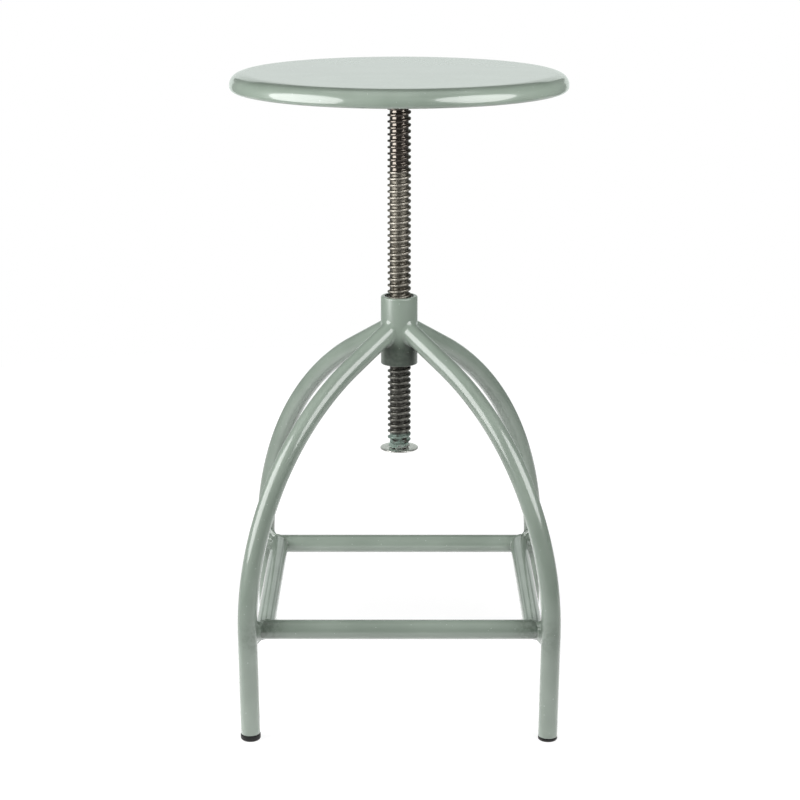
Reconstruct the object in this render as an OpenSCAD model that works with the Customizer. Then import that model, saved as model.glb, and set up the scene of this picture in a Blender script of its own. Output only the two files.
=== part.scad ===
// Height-adjustable bar stool: a round pressed-steel seat on a screw spindle that turns in the
// hub of a four-legged tube frame. Millimetres, +Z up. The origin lies on the floor, on the
// spindle's axis. The seat stands at the height that the rest pose shows.

/* [Seat] */
// Outside diameter of the round seat
seat_d = 345; // [280:1:420]
// Height of the seat's top above the floor at rest
seat_height = 664; // [600:1:740]
// Height of the seat's pressed edge
rim_h = 18; // [18:0.5:24]
// Radius of the wide shoulder in which the flat top starts to bend down
shoulder_r = 25; // [20:1:40]
// Slope at the end of that shoulder
shoulder_slope = 22.5; // [15:7.5:30]
// Radius of the tighter bend from there to the upright edge
corner_r = 11.5; // [8:0.5:12]
// Radius of the bend at the foot of the edge
hem_r = 4.5; // [3:0.5:5]
// Width of the flat hem that turns in under the seat
hem_w = 6; // [2:0.5:12]
// Thickness of the pressed sheet of the seat and its cross brace
sheet = 1.5; // [1:0.1:2.5]
// Depth of the cross brace under the seat
brace_h = 12; // [10:0.5:18]
// Width of each channel of the cross brace
brace_w = 30; // [24:1:44]
// Width of the welded flange on each side of a channel
brace_flange = 9; // [5:0.5:20]
// Length of each arm of the cross brace from the spindle's axis
brace_reach = 146; // [90:1:150]

/* [Seat mounting] */
// Diameter of the round mounting plate on top of the spindle
plate_d = 104; // [94:1:130]
// Thickness of the mounting plate
plate_t = 5; // [3:0.5:8]
// Diameter of the circle that the four seat bolts stand on
bolt_circle_d = 76; // [66:1:82]
// Thread diameter of the seat bolts
seat_bolt_d = 8; // [6:1:8]
// Length of the seat bolts under their heads
seat_bolt_l = 16; // [15:0.5:17]
// Width of the seat bolts' hexagon heads across their flats
seat_head_w = 13; // [12:0.5:14]
// Height of the seat bolts' heads
seat_head_h = 5.3; // [4:0.1:6]
// Outside diameter of the washers under the seat bolts
seat_washer_d = 16; // [15:0.5:20]
// Thickness of the washers under the seat bolts
seat_washer_t = 1.6; // [1:0.1:2.5]
// Side of the square weld nuts in the cross brace
weld_nut_w = 13; // [12:0.5:18]
// Thickness of the weld nuts
weld_nut_t = 6.5; // [4:0.5:8]
// Leg length of the weld between spindle and plate
plate_weld = 5; // [2:0.5:6]

/* [Spindle] */
// Length of the spindle from its lower end to the top of the mounting plate
spindle_length = 377.8; // [330:0.1:420]
// Outside diameter of the thread
thread_d = 24.4; // [20:0.1:26]
// Height that one turn of the seat lifts it by
thread_pitch = 6.55; // [5:0.05:8]
// Depth of the thread
thread_depth = 2.4; // [1.5:0.1:3]
// Width of the flat on the thread's crest
thread_crest = 2; // [1:0.1:2.4]
// Height of each sloping flank of the thread
thread_flank = 1; // [0.5:0.1:1.4]
// Plain length at the lower end, before the thread starts
spindle_plain_end = 1.2; // [0.5:0.1:6]
// Depth of the tapped hole in the lower end
spindle_hole_depth = 20; // [14:1:40]

/* [Stop at the spindle's lower end] */
// Outside diameter of the stop washer
stop_washer_d = 40; // [34:1:50]
// Thickness of the stop washer
stop_washer_t = 1.5; // [1:0.1:4]
// Thread diameter of the stop bolt
stop_bolt_d = 12; // [8:1:13]
// Diameter of the stop bolt's low head
stop_head_d = 20; // [18:0.5:28]
// Height of the stop bolt's low head
stop_head_h = 2.8; // [2:0.1:6]
// Diameter that the head tapers to at its face
stop_face_d = 16; // [12:0.5:17.5]
// Width of the hexagon socket in the head across its flats
stop_socket_w = 6; // [4:0.5:8]
// Depth of the hexagon socket
stop_socket_depth = 1.9; // [1:0.1:1.9]
// Width of the lock nut across its flats
lock_nut_w = 19; // [17:0.5:22]
// Thickness of the lock nut
lock_nut_t = 4.5; // [3:0.1:5]

/* [Hub] */
// Outside diameter of the hub
hub_d = 38.4; // [36:0.2:46]
// Wall of the hub
hub_wall = 4.4; // [3:0.1:5]
// Length of the hub
hub_length = 72.2; // [60:0.2:90]
// Height of the hub's lower end above the floor
hub_base = 359.7; // [340:0.1:390]
// How far the threaded bush lies below the hub's upper end
bush_top_recess = 1; // [1:0.5:8]
// How far the threaded bush lies above the hub's lower end
bush_base_recess = 6; // [5.5:0.5:12]
// Chamfer of the hub's outer edges
hub_chamfer = 0.8; // [0.2:0.1:2]

/* [Legs] */
// Outside diameter of the leg and stretcher tubes
tube_d = 20; // [16:0.5:24]
// Wall of the leg and stretcher tubes
tube_wall = 1.5; // [1:0.1:3]
// Height on the hub where the axes of the legs meet
leg_join = 44.5; // [36:0.5:52]
// Slope of a leg's upper run below the horizontal
leg_slope = 28.5; // [22:0.5:36]
// Horizontal reach of a leg's straight upper run from the spindle's axis
leg_run = 68; // [50:1:95]
// Radius of the long bend in a leg
leg_bend_r = 285; // [250:1:300]
// How far a leg leans inwards towards the floor below its bend
leg_lean = 1; // [0:0.1:3]
// Size of the weld beads round the legs' roots
weld_size = 2; // [1:0.1:2.6]

/* [Stretchers and feet] */
// Height of the stretchers' axes above the floor
stretcher_z = 113.5; // [80:0.5:160]
// How far the mitred corners of the stretchers' square reach into the legs' inner sides
corner_bite = 0.5; // [0:0.1:1.5]
// Size of the weld beads between those corners and the legs
corner_weld = 4; // [2:0.5:5]
// Height of the beads along the mitres
mitre_bead = 1; // [0.5:0.1:1.5]
// Width of those beads on each side of a mitre
mitre_bead_w = 2; // [1:0.1:3]
// Height of the plastic cap that shows below a leg
foot_cap_h = 4; // [3:0.5:10]
// Height of the front left cap, which stands further out of its leg than the others
tall_cap_h = 7; // [3:0.5:10]
// How far that cap stands out round its leg
tall_cap_lip = 0.3; // [0.1:0.1:0.6]
// Length of the plug inside the leg
foot_plug_l = 24; // [12:1:40]
// Rounding of the foot cap's lower edge
foot_round = 1.4; // [0.5:0.1:1.4]

/* [Clearances] */
// Gap between pieces that are welded or screwed together
seam = 0.1; // [0.05:0.01:0.2]
// Radial gap between the spindle's thread and the bush
thread_gap = 0.3; // [0.2:0.05:0.5]
// Gap along the axis between the flanks of spindle and bush
flank_gap = 0.3; // [0.2:0.05:0.5]
// Gap on each side of the stop washer
stop_gap = 0.3; // [0.2:0.05:0.5]
// Radial gap between the stop washer and its bolt
stop_bore_gap = 0.5; // [0.3:0.1:1]
// Radial gap of the plate's holes round the seat bolts
bolt_gap = 0.5; // [0.2:0.1:1]

/* [Hidden] */

// Roundness of turned pieces and of a leg's long bend
round_fn = 96;
bend_fn = 720;
// Turn between two corners of the line that stands for the seat's bends
bend_step = 7.5;
$fn = round_fn;
// Flats that stand for one turn of the thread
turn_steps = 18;
// A bend is this much thicker than the straight runs, which lap into it this far
bend_swell = 0.03;
bend_lap = 2;
// Slope of the turned chamfer on the lock nut's corners
nut_chamfer_slope = 30;
// Cuts run this far past the faces that they open
over = 1;

// Directions of the legs round the spindle's axis, seen from above
front_left = 225;
front_right = 315;
rear_left = 135;
rear_right = 45;

paint = "#8C998F";
bare_steel = "#6E685F";
bright_steel = "#C9C8C3";
black_plastic = "#1B1C1D";

tube_r = tube_d / 2;
hub_r = hub_d / 2;
hub_bore_r = hub_r - hub_wall;
hub_top = hub_base + hub_length;

// Upper run, bend and lower run of a leg's centre line: x is the distance from the axis
leg_axis_z = hub_base + leg_join;
bend_start = [leg_run, leg_axis_z - leg_run * tan(leg_slope)];
bend_centre = bend_start - leg_bend_r * [sin(leg_slope), cos(leg_slope)];
bend_end = bend_centre + leg_bend_r * [cos(leg_lean), -sin(leg_lean)];
foot_x = bend_end[0] - bend_end[1] * tan(leg_lean);

// Height and radius of the cap below the leg in that direction
function cap_h(direction) = direction == front_left ? tall_cap_h : foot_cap_h;
function cap_r(direction) = tube_r + (direction == front_left ? tall_cap_lip : 0);

// Distance of a leg's centre line from the axis at a height on its bend or lower run
function leg_x(z) = z > bend_end[1]
    ? bend_centre[0] + sqrt(pow(leg_bend_r, 2) - pow(z - bend_centre[1], 2))
    : foot_x + z * tan(leg_lean);

// Angle by which a leg's centre line leans towards the axis there, going up
function leg_tilt(z) = z > bend_end[1] ? asin((z - bend_centre[1]) / leg_bend_r) : -leg_lean;

// The stretchers form a mitred square inside the legs. Its outer corners meet the legs.
stretcher_y = (leg_x(stretcher_z) - tube_r + corner_bite) / sqrt(2) - tube_r;
stretcher_reach = stretcher_y + tube_d;
// How far a leg's bend strays from a straight line over the height of a weld bead
bend_sag = pow(tube_r + corner_weld, 2) / (2 * leg_bend_r) + bend_swell;

// Centres of the seat's three bends, as [distance from the axis, height above the seat's top]
corner_x = seat_d / 2 - corner_r;
shoulder_centre = [corner_x - (shoulder_r - corner_r) * sin(shoulder_slope), -shoulder_r];
corner_centre = [corner_x, (shoulder_r - corner_r) * cos(shoulder_slope) - shoulder_r];
hem_centre = [seat_d / 2 - hem_r, hem_r - rim_h];

// Point of the seat's profile at a depth in the sheet, where its outer side has that slope
function seat_bend(centre, radius, slope) = centre + radius * [sin(slope), cos(slope)];
function seat_point(slope, depth) =
    slope <= shoulder_slope ? seat_bend(shoulder_centre, shoulder_r - depth, slope)
    : slope <= 90 ? seat_bend(corner_centre, corner_r - depth, slope)
    : seat_bend(hem_centre, hem_r - depth, slope);

// Heights under the seat, from the top down
skin_base = seat_height - sheet;
brace_base = skin_base - brace_h;
plate_base = brace_base - plate_t;
seat_washer_base = plate_base - seat_washer_t;
spindle_base = brace_base - spindle_length;

// Thread: the root's and crest's radius, and where it starts and ends
root_r = thread_d / 2 - thread_depth;
crest_r = thread_d / 2;
thread_base = spindle_base + spindle_plain_end;
thread_top = plate_base - plate_weld - over;
flank_slope = thread_flank / thread_depth;

// Stop washer, lock nut and stop bolt below the spindle
lock_nut_base = spindle_base - lock_nut_t;
stop_washer_base = lock_nut_base - stop_gap - stop_washer_t;
stop_head_top = stop_washer_base - stop_gap;
stop_bolt_r = stop_bolt_d / 2;

// Threaded bush in the hub
bush_base = hub_base + bush_base_recess;
bush_top = hub_top - bush_top_recess;

// Points and faces of a helical thread between two plain ends.
// steps is the number of sections along the helix. offsets are the heights of the base,
// tip, tip and base corners of the ridge within one turn. The ridge grows out of the base
// radius over the first half turn and sinks back over the last.
function ring(radius, z) = [
    for (j = [0 : turn_steps - 1])
        [radius * cos(j * 360 / turn_steps), radius * sin(j * 360 / turn_steps), z]
];
function on_helix(radius, i, z) = [
    radius * cos(i * 360 / turn_steps),
    radius * sin(i * 360 / turn_steps),
    z + thread_pitch * i / turn_steps
];
function ridge_share(i, steps) = min(1, i / (turn_steps / 2), (steps - i) / (turn_steps / 2));
function thread_points(base_r, tip_r, z, offsets, steps, low, high) = concat(
    [for (i = [0 : steps + turn_steps]) on_helix(base_r, i, z + offsets[0])],
    [for (v = [1 : 3]) for (i = [0 : steps])
        on_helix(
            v == 3 ? base_r : base_r + (tip_r - base_r) * ridge_share(i, steps),
            i,
            z + offsets[v]
        )],
    ring(base_r, low),
    ring(base_r, high)
);
// Two triangles of a strip between a lower and an upper edge, seen from outside the screw
function strip(a, b, c, d) = [[a, d, c], [a, c, b]];
// A fan of triangles from one corner to each step of a chain of corners
function fan(corner, chain) = [
    for (k = [0 : len(chain) - 2]) [corner, chain[k + 1], chain[k]]
];
// Index of corner v of section i. Corner 4 is the base corner one turn further on.
function corner(v, i, steps) = v == 0 ? i
    : v == 4 ? i + turn_steps
    : steps + turn_steps + 1 + (v - 1) * (steps + 1) + i;
function low_ring(j, steps) = 4 * (steps + 1) + turn_steps + j % turn_steps;
function high_ring(j, steps) = low_ring(j, steps) + turn_steps;
function thread_faces(steps) = concat(
    [for (i = [0 : steps - 1]) for (v = [0 : 3]) each strip(
        corner(v, i, steps), corner(v, i + 1, steps),
        corner(v + 1, i + 1, steps), corner(v + 1, i, steps)
    )],
    [for (j = [0 : turn_steps - 2]) each strip(
        low_ring(j, steps), low_ring(j + 1, steps), j + 1, j
    )],
    fan(low_ring(turn_steps - 1, steps), concat(
        [low_ring(0, steps)],
        [for (v = [0 : 4]) corner(v, 0, steps)],
        [turn_steps - 1]
    )),
    [for (j = [1 : turn_steps - 1]) each strip(
        steps + j, steps + j + 1,
        high_ring(steps + j + 1, steps), high_ring(steps + j, steps)
    )],
    fan(high_ring(steps + 1, steps), concat(
        [high_ring(steps, steps)],
        [for (v = [4 : -1 : 0]) corner(v, steps, steps)],
        [steps + 1]
    ))
);
function flipped(faces) = [for (f = faces) [f[2], f[1], f[0]]];
function steps_between(z, top) = floor(((top - z) / thread_pitch - 1) * turn_steps);
// A flat ring of strips between two rings of corners that start at the given indices
function annulus(inner, outer) = [
    for (j = [0 : turn_steps - 1]) each strip(
        inner + (j + 1) % turn_steps, inner + j, outer + j, outer + (j + 1) % turn_steps
    )
];

spindle_offsets = [
    0, thread_flank, thread_flank + thread_crest, 2 * thread_flank + thread_crest
];

// A corner of a polygon lies further out than the flats that stand for the round wall
flat_share = cos(180 / turn_steps);

module spindle() {
    steps = steps_between(thread_base, thread_top);
    screw = thread_points(
        root_r, crest_r, thread_base, spindle_offsets, steps, spindle_base, brace_base
    );
    hole_r = (stop_bolt_r + seam) / flat_share;
    hole_low = len(screw);
    hole_high = hole_low + turn_steps;
    all_points = concat(
        screw,
        ring(hole_r, spindle_base),
        ring(hole_r, spindle_base + spindle_hole_depth)
    );
    faces = concat(
        thread_faces(steps),
        flipped(annulus(hole_low, low_ring(0, steps))),
        [for (j = [0 : turn_steps - 1]) each flipped(strip(
            hole_low + j, hole_low + (j + 1) % turn_steps,
            hole_high + (j + 1) % turn_steps, hole_high + j
        ))],
        [[for (j = [0 : turn_steps - 1]) hole_high + j]],
        [[for (j = [turn_steps - 1 : -1 : 0]) high_ring(j, steps)]]
    );
    color(bare_steel) polyhedron(all_points, faces, convexity = 10);
}

// The bush's ridge fills the spindle's groove, less the gaps, in step with it at rest
module thread_bush() {
    major_r = (crest_r + thread_gap) / flat_share;
    minor_r = (root_r + thread_gap) / flat_share;
    wall_r = hub_bore_r - seam;
    lower_flank = thread_flank + thread_crest + flank_gap;
    upper_flank = thread_pitch + thread_flank - flank_gap;
    offsets = [
        lower_flank + flank_slope * (crest_r - major_r),
        lower_flank + flank_slope * (crest_r - minor_r),
        upper_flank - flank_slope * (crest_r - minor_r),
        upper_flank - flank_slope * (crest_r - major_r)
    ];
    // First turn of the spindle's thread whose ridge starts inside the bush
    turns = ceil((bush_base + over - thread_base - offsets[0]) / thread_pitch);
    start = thread_base + turns * thread_pitch;
    steps = steps_between(start + offsets[0], bush_top - over);
    screw = thread_points(major_r, minor_r, start, offsets, steps, bush_base, bush_top);
    outer_low = len(screw);
    outer_high = outer_low + turn_steps;
    all_points = concat(screw, ring(wall_r, bush_base), ring(wall_r, bush_top));
    faces = concat(
        flipped(thread_faces(steps)),
        flipped(annulus(low_ring(0, steps), outer_low)),
        annulus(high_ring(0, steps), outer_high),
        [for (j = [0 : turn_steps - 1]) each strip(
            outer_low + j, outer_low + (j + 1) % turn_steps,
            outer_high + (j + 1) % turn_steps, outer_high + j
        )]
    );
    color(bare_steel) polyhedron(all_points, faces, convexity = 10);
}

// Hub: a thick tube with chamfered outer edges
module hub() {
    color(paint) translate([0, 0, hub_base]) rotate_extrude() polygon([
        [hub_bore_r, 0],
        [hub_r - hub_chamfer, 0],
        [hub_r, hub_chamfer],
        [hub_r, hub_length - hub_chamfer],
        [hub_r - hub_chamfer, hub_length],
        [hub_bore_r, hub_length]
    ]);
}

// Solid rod of the given radius along the upper run of the leg that lies along +X
module leg_upper_rod(radius) {
    translate([0, 0, leg_axis_z]) rotate([0, 90 + leg_slope, 0])
        cylinder(r = radius, h = leg_run / cos(leg_slope) + bend_lap);
}

// Solid rod along the whole centre line of that leg, running on below the floor
module leg_rod(radius) {
    leg_upper_rod(radius);
    translate([bend_centre[0], 0, bend_centre[1]]) rotate([90, 0, 0])
        rotate([0, 0, -leg_lean])
            rotate_extrude(angle = 90 - leg_slope + leg_lean, $fn = bend_fn)
                translate([leg_bend_r, 0]) circle(r = radius + bend_swell, $fn = round_fn);
    translate([bend_end[0], 0, bend_end[1]]) rotate([0, 180 + leg_lean, 0])
        translate([0, 0, -bend_lap])
            cylinder(r = radius, h = bend_end[1] / cos(leg_lean) + bend_lap + tube_d);
}

// Places its children where the leg's centre line meets the floor, +Z along the leg
module at_foot() {
    translate([foot_x, 0, 0]) rotate([0, leg_lean, 0]) children();
}

module leg(direction) {
    color(paint) rotate([0, 0, direction]) difference() {
        leg_rod(tube_r);
        leg_rod(tube_r - tube_wall);
        translate([0, 0, hub_base - over])
            cylinder(r = hub_r + seam, h = hub_length + 2 * over);
        at_foot() translate([0, 0, cap_h(direction) - 2 * tube_d])
            cylinder(r = 2 * tube_d, h = 2 * tube_d);
    }
}

// Plastic foot: a cap below the leg and a plug inside it, cut level with the floor
module foot(direction) {
    plug_r = tube_r - tube_wall - seam;
    height = cap_h(direction);
    radius = cap_r(direction);
    color(black_plastic) rotate([0, 0, direction]) difference() {
        at_foot() {
            translate([0, 0, height / 2]) cylinder(r = radius, h = height / 2 - seam);
            difference() {
                translate([0, 0, -over]) cylinder(r = radius, h = height / 2 + over);
                rotate_extrude() difference() {
                    translate([radius - foot_round, -over])
                        square([foot_round + over, foot_round + over]);
                    translate([radius - foot_round, foot_round]) circle(r = foot_round);
                }
            }
            translate([0, 0, height / 2]) cylinder(r = plug_r, h = foot_plug_l);
        }
        translate([-2 * foot_x, -2 * foot_x, -2 * tube_d])
            cube([4 * foot_x, 4 * foot_x, 2 * tube_d]);
    }
}

// Rod of the given radius along the axis of the front stretcher, running on past its ends
module stretcher_rod(radius) {
    translate([-stretcher_reach, -stretcher_y, stretcher_z]) rotate([0, 90, 0])
        cylinder(r = radius, h = 2 * stretcher_reach);
}

// Slab of the given thickness on the front stretcher's side of its mitre at the given leg
module beside_mitre(direction, thickness) {
    rotate([0, 0, direction])
        translate([0, direction == front_left ? seam / 2 : -seam / 2 - thickness, 0])
            cube([2 * stretcher_reach, thickness, 2 * stretcher_z]);
}

// Straight rod that stands in for the leg along +X where the stretchers meet it
module leg_rod_at_stretcher(radius) {
    translate([leg_x(stretcher_z), 0, stretcher_z]) rotate([0, -leg_tilt(stretcher_z), 0])
        translate([0, 0, -2 * tube_d]) cylinder(r = radius, h = 4 * tube_d);
}

// The stretcher at the side that faces the given turn from the front
module stretcher(turn) {
    color(paint) rotate([0, 0, turn]) difference() {
        intersection() {
            stretcher_rod(tube_r);
            beside_mitre(front_left, 2 * stretcher_reach);
            beside_mitre(front_right, 2 * stretcher_reach);
        }
        stretcher_rod(tube_r - tube_wall);
        for (end = [front_left, front_right])
            rotate([0, 0, end]) leg_rod_at_stretcher(tube_r + seam + bend_sag);
    }
}

// Four beads round the roots of the legs, each following the seam between leg and hub
module hub_welds() {
    color(paint) for (direction = [front_left, front_right, rear_left, rear_right])
        rotate([0, 0, direction]) difference() {
            intersection() {
                leg_upper_rod(tube_r + weld_size);
                translate([0, 0, hub_base]) cylinder(r = hub_r + weld_size, h = hub_length);
            }
            leg_upper_rod(tube_r + seam);
            translate([0, 0, hub_base - over])
                cylinder(r = hub_r + seam, h = hub_length + 2 * over);
        }
}

// Two beads at each corner of the stretchers' square, one on each side of the mitre. Each
// runs along the mitre and fills the corner between its stretcher and the leg.
module stretcher_welds() {
    color(paint) for (turn = [0, 90, 180, 270]) rotate([0, 0, turn]) for (side = [0, 1])
        mirror([side, -side, 0]) difference() {
            union() {
                intersection() {
                    rotate([0, 0, front_left])
                        leg_rod_at_stretcher(tube_r + corner_weld + bend_sag);
                    stretcher_rod(tube_r + corner_weld);
                    beside_mitre(front_left, 2 * tube_d);
                }
                intersection() {
                    stretcher_rod(tube_r + mitre_bead);
                    beside_mitre(front_left, mitre_bead_w);
                }
            }
            rotate([0, 0, front_left]) leg_rod_at_stretcher(tube_r + seam + bend_sag);
            stretcher_rod(tube_r + seam);
        }
}

// Plain steel washer, wider than the hub's bore, that ends the seat's way up
module stop_washer() {
    color(bright_steel) translate([0, 0, stop_washer_base]) difference() {
        cylinder(d = stop_washer_d, h = stop_washer_t);
        translate([0, 0, -over])
            cylinder(r = stop_bolt_r + stop_bore_gap, h = stop_washer_t + 2 * over);
    }
}

// Hexagon with the given width across its flats, a flat facing the front
module hexagon(across_flats) {
    circle(d = across_flats / cos(30), $fn = 6);
}

module lock_nut() {
    color(bright_steel) translate([0, 0, lock_nut_base]) difference() {
        intersection() {
            linear_extrude(lock_nut_t) hexagon(lock_nut_w);
            // Turned chamfer that takes the corners off the top face
            rotate_extrude() polygon([
                [0, -over],
                [lock_nut_w, -over],
                [lock_nut_w, lock_nut_t - (lock_nut_w / 2) * tan(nut_chamfer_slope)],
                [lock_nut_w / 2, lock_nut_t],
                [0, lock_nut_t]
            ]);
        }
        translate([0, 0, -over])
            cylinder(r = stop_bolt_r + seam, h = lock_nut_t + 2 * over);
    }
}

// Stop bolt: a low round head under the washer, a hexagon socket, and a shank that screws
// through the lock nut into the spindle
module stop_bolt() {
    shank_l = 2 * stop_gap + stop_washer_t + lock_nut_t + spindle_hole_depth - over;
    color(bright_steel) translate([0, 0, stop_head_top]) difference() {
        union() {
            cylinder(r = stop_bolt_r, h = shank_l);
            translate([0, 0, -stop_head_h / 2]) cylinder(d = stop_head_d, h = stop_head_h / 2);
            translate([0, 0, -stop_head_h])
                cylinder(d1 = stop_face_d, d2 = stop_head_d, h = stop_head_h / 2);
        }
        translate([0, 0, -stop_head_h - over])
            linear_extrude(stop_socket_depth + over) hexagon(stop_socket_w);
    }
}

// Places a copy of its children at each seat bolt
module at_seat_bolts() {
    for (a = [0 : 90 : 270]) rotate([0, 0, a]) translate([bolt_circle_d / 2, 0, 0]) children();
}

module mounting_plate() {
    color(bare_steel) translate([0, 0, plate_base]) difference() {
        cylinder(d = plate_d, h = plate_t);
        translate([0, 0, -over]) cylinder(r = root_r + seam, h = plate_t + 2 * over);
        at_seat_bolts() translate([0, 0, -over])
            cylinder(r = seat_bolt_d / 2 + bolt_gap, h = plate_t + 2 * over);
    }
}

// Fillet weld all round the spindle under the mounting plate
module plate_weld_bead() {
    color(bare_steel) translate([0, 0, plate_base]) rotate_extrude() polygon([
        [root_r + seam, -plate_weld],
        [root_r + seam + plate_weld, 0],
        [root_r + seam, 0]
    ]);
}

// Two crossed hat channels, crowns down, with their flanges welded under the seat
module cross_brace() {
    module both_ways() {
        for (a = [0, 90]) rotate([0, 0, a]) children();
    }
    module bar(width, base, height, reach) {
        translate([-reach, -width / 2, base]) cube([2 * reach, width, height]);
    }
    color(paint) difference() {
        union() {
            both_ways() bar(brace_w, brace_base, brace_h, brace_reach);
            both_ways() bar(brace_w + 2 * brace_flange, skin_base - sheet, sheet, brace_reach);
        }
        both_ways()
            bar(brace_w - 2 * sheet, brace_base + sheet, brace_h, brace_reach + over);
        at_seat_bolts() translate([0, 0, brace_base - over])
            cylinder(r = seat_bolt_d / 2 + bolt_gap, h = sheet + 2 * over);
    }
}

// Pressed seat: a flat skin that bends down over a wide shoulder and a tighter corner to a short
// upright edge, which turns in at its foot as a flat hem
module seat_pan() {
    slopes = [0 : bend_step : 180];
    hem_end = hem_centre[0] - hem_w;
    color(paint) translate([0, 0, seat_height]) rotate_extrude() polygon(concat(
        [[0, 0]],
        [for (slope = slopes) seat_point(slope, 0)],
        [[hem_end, -rim_h], [hem_end, sheet - rim_h]],
        [for (slope = slopes) seat_point(180 - slope, sheet)],
        [[0, -sheet]]
    ));
}

module seat_bolts() {
    color(bright_steel) at_seat_bolts() translate([0, 0, seat_washer_base]) {
        cylinder(d = seat_bolt_d, h = seat_bolt_l);
        translate([0, 0, -seat_head_h]) linear_extrude(seat_head_h) hexagon(seat_head_w);
    }
}

module seat_washers() {
    color(bright_steel) at_seat_bolts() translate([0, 0, seat_washer_base]) difference() {
        cylinder(d = seat_washer_d, h = seat_washer_t);
        translate([0, 0, -over])
            cylinder(r = seat_bolt_d / 2 + seam, h = seat_washer_t + 2 * over);
    }
}

module weld_nuts() {
    color(bright_steel) at_seat_bolts() translate([0, 0, brace_base + sheet]) difference() {
        translate([-weld_nut_w / 2, -weld_nut_w / 2, 0])
            cube([weld_nut_w, weld_nut_w, weld_nut_t]);
        translate([0, 0, -over])
            cylinder(r = seat_bolt_d / 2 + seam, h = weld_nut_t + 2 * over);
    }
}

hub();
thread_bush();
leg(front_left);  // front_left_leg
leg(front_right);  // front_right_leg
leg(rear_left);  // rear_left_leg
leg(rear_right);  // rear_right_leg
stretcher(0);  // front_stretcher
stretcher(180);  // rear_stretcher
stretcher(270);  // left_stretcher
stretcher(90);  // right_stretcher
foot(front_left);  // front_left_foot
foot(front_right);  // front_right_foot
foot(rear_left);  // rear_left_foot
foot(rear_right);  // rear_right_foot
hub_welds();
stretcher_welds();
stop_washer();
spindle();
lock_nut();
stop_bolt();
mounting_plate();
plate_weld_bead();
cross_brace();
seat_pan();
seat_bolts();
seat_washers();
weld_nuts();
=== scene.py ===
"""A height-adjustable bar stool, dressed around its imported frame.

A pressed-steel seat, hemmed in under its edge, stands on a screw spindle, which turns in the hub
of a frame of bent tubes. Metres, +Z up, the floor at 0, the spindle's axis on X = Y = 0, and -Y to
the front. Nearly all pieces are stacks of rings of points, each joined into a closed mesh.
"""

import math

import bmesh
import bpy
from mathutils import Matrix, Vector

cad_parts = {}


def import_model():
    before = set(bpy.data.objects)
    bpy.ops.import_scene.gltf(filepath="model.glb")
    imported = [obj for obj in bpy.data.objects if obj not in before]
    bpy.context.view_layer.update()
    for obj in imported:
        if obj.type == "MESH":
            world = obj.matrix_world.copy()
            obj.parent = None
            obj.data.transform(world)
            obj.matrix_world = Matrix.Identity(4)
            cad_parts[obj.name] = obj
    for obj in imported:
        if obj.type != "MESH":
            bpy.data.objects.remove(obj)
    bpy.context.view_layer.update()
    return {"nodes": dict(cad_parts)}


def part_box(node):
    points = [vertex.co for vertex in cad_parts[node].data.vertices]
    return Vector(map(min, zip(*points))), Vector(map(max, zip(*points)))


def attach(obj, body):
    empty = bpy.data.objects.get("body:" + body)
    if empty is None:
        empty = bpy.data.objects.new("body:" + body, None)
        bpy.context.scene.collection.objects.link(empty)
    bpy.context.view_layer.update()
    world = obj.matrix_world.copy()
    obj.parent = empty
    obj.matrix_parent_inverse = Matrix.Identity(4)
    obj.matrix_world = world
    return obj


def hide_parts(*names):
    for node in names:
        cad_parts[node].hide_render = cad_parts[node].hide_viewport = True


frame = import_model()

# Sizes that the frame's boxes don't give, as the frame's own source has them
TUBE_R = 0.010
LEG_SLOPE = math.radians(28.5)
LEG_RUN = 0.068
LEG_JOIN = 0.0445
BEND_R = 0.285
LEG_LEAN = math.radians(1)
CAP_H = {"front_left": 0.007, "front_right": 0.004, "rear_left": 0.004, "rear_right": 0.004}
CAP_LIP = {"front_left": 0.0003, "front_right": 0, "rear_left": 0, "rear_right": 0}
SEAT_SHEET = 0.0015
SHOULDER_R = 0.025
SHOULDER_SLOPE = 22.5
CORNER_R = 0.0115
HEM_R = 0.0045
HEM_W = 0.006
HUB_WALL = 0.0044
FILLET_W = 0.0030
THREAD_PITCH = 0.00655
THREAD_DEPTH = 0.0024
BOLT_CIRCLE_R = 0.038

# Sizes and places read from the frame
HUB_LOW, HUB_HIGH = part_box("hub")
HUB_R = HUB_HIGH.x
SEAT_LOW, SEAT_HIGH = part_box("seat_pan")
SEAT_R = SEAT_HIGH.x
STRETCHER_LOW, STRETCHER_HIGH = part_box("front_stretcher")
STRETCHER_Z = (STRETCHER_LOW.z + STRETCHER_HIGH.z) / 2
STRETCHER_Y = -STRETCHER_LOW.y - TUBE_R
SPINDLE_LOW, SPINDLE_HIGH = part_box("spindle")
NUT_LOW, NUT_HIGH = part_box("lock_nut")
WASHER_LOW, WASHER_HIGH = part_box("stop_washer")
STOP_LOW, STOP_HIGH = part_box("stop_bolt")
PLATE_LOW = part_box("mounting_plate")[0]
BOLTS_LOW, BOLTS_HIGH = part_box("seat_bolts")

# A leg's centre line in its own upright plane: x is the distance from the spindle's axis
LEG_AXIS_Z = HUB_LOW.z + LEG_JOIN
BEND_START = (LEG_RUN, LEG_AXIS_Z - LEG_RUN * math.tan(LEG_SLOPE))
BEND_CENTRE = (
    BEND_START[0] - BEND_R * math.sin(LEG_SLOPE),
    BEND_START[1] - BEND_R * math.cos(LEG_SLOPE),
)
BEND_END = (
    BEND_CENTRE[0] + BEND_R * math.cos(LEG_LEAN),
    BEND_CENTRE[1] - BEND_R * math.sin(LEG_LEAN),
)
FOOT_X = BEND_END[0] - BEND_END[1] * math.tan(LEG_LEAN)
LEG_TURNS = {"front_left": 225, "front_right": 315, "rear_left": 135, "rear_right": 45}

# Points round a turned piece, a tube and a hexagonal piece
ROUND = 96
TUBE_ROUND = 64
HEX_ROUND = 72
# How far a piece reaches into its neighbour where they meet
HIDDEN_LAP = 0.0002

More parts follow.
